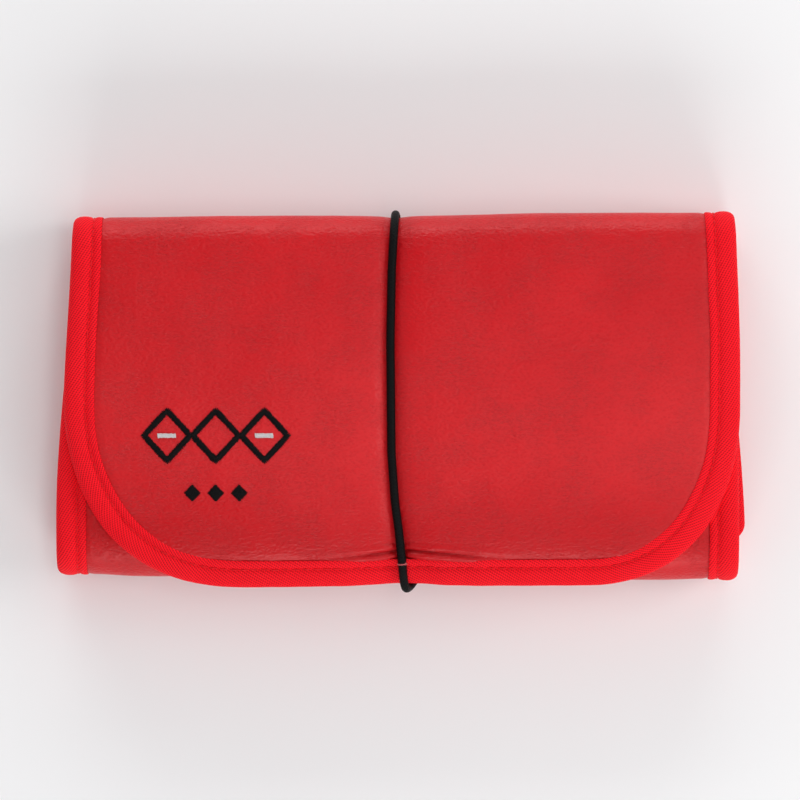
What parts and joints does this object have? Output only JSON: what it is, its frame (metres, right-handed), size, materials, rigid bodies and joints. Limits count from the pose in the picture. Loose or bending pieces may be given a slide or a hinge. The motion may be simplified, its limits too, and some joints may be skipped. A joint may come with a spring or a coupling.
{
  "type": "eyeglasses case",
  "caption": "Roll-up eyeglasses case in padded red leather with bound edges, inner fabric pockets, a rounded fold-over flap and a round elastic closure.",
  "frame": {"origin": "centre of the closed case's outline, on the face that it lies on", "axes": "+X along the folds to the right, +Y towards the top fold, +Z from the back to the flap"},
  "size_m": [0.193, 0.108, 0.0348],
  "materials": {
    "leather": "semi-gloss fine pebble grain",
    "tape": "woven twill tape",
    "lining": "matte plain weave",
    "pocket_cloth": "matte plain weave",
    "foam": "matte open-cell foam",
    "elastic": "braided textile cover",
    "thread_dark": "satin stitch",
    "thread_light": "satin stitch"
  },
  "bodies": {
    "back_panel": {"back_binding_left": "tape", "back_binding_right": "tape", "back_foam": "foam", "back_leather": "leather", "back_lining": "lining", "back_pocket": "pocket_cloth", "back_pocket_hem": "tape", "bottom_fold_binding_left": "tape", "bottom_fold_binding_right": "tape", "bottom_fold_foam": "foam", "bottom_fold_leather": "leather", "bottom_fold_lining": "lining"},
    "top_fold": {"top_fold_binding_left": "tape", "top_fold_binding_right": "tape", "top_fold_foam": "foam", "top_fold_leather": "leather", "top_fold_lining": "lining"},
    "flap": {"elastic_tack": "thread_light", "flap_binding": "tape", "flap_foam": "foam", "flap_leather": "leather", "flap_lining": "lining", "flap_motif_dark": "thread_dark", "flap_motif_light": "thread_light"},
    "front_panel": {"front_binding_left": "tape", "front_binding_right": "tape", "front_foam": "foam", "front_leather": "leather", "front_lining": "lining", "front_pocket": "pocket_cloth", "front_pocket_hem": "tape", "inner_binding": "tape", "inner_foam": "foam", "inner_fold_binding_left": "tape", "inner_fold_binding_right": "tape", "inner_fold_foam": "foam", "inner_fold_leather": "leather", "inner_fold_lining": "lining", "inner_leather": "leather", "inner_lining": "lining", "inner_pocket": "pocket_cloth", "inner_pocket_hem": "tape"},
    "elastic": {"elastic_cord": "elastic"}
  },
  "joints": [
    {"name": "flap_fold", "type": "hinge", "parent": "back_panel", "child": "top_fold", "pos_m": [0, 0.054, 0], "axis": [-1, 0, 0], "range_deg": [0, 90]},
    {"name": "flap_turn", "type": "hinge", "parent": "top_fold", "child": "flap", "pos_m": [0, 0.054, 0.0346], "axis": [-1, 0, 0], "range_deg": [0, 90]},
    {"name": "front_relax", "type": "hinge", "parent": "back_panel", "child": "front_panel", "pos_m": [0, -0.0486, 0.0302], "axis": [1, 0, 0], "range_deg": [0, 27]},
    {"name": "elastic_swing", "type": "hinge", "parent": "flap", "child": "elastic", "pos_m": [-0.0012, -0.046, 0.033], "axis": [-1, 0, 0], "range_deg": [0, 180], "deforming": ["elastic_cord"]}
  ],
  "couplings": [
    {"joint": "flap_turn", "follows": "flap_fold", "ratio": 1},
    {"joint": "front_relax", "follows": "flap_fold", "ratio": 0.3},
    {"joint": "elastic_swing", "follows": "flap_fold", "ratio": 2}
  ]
}
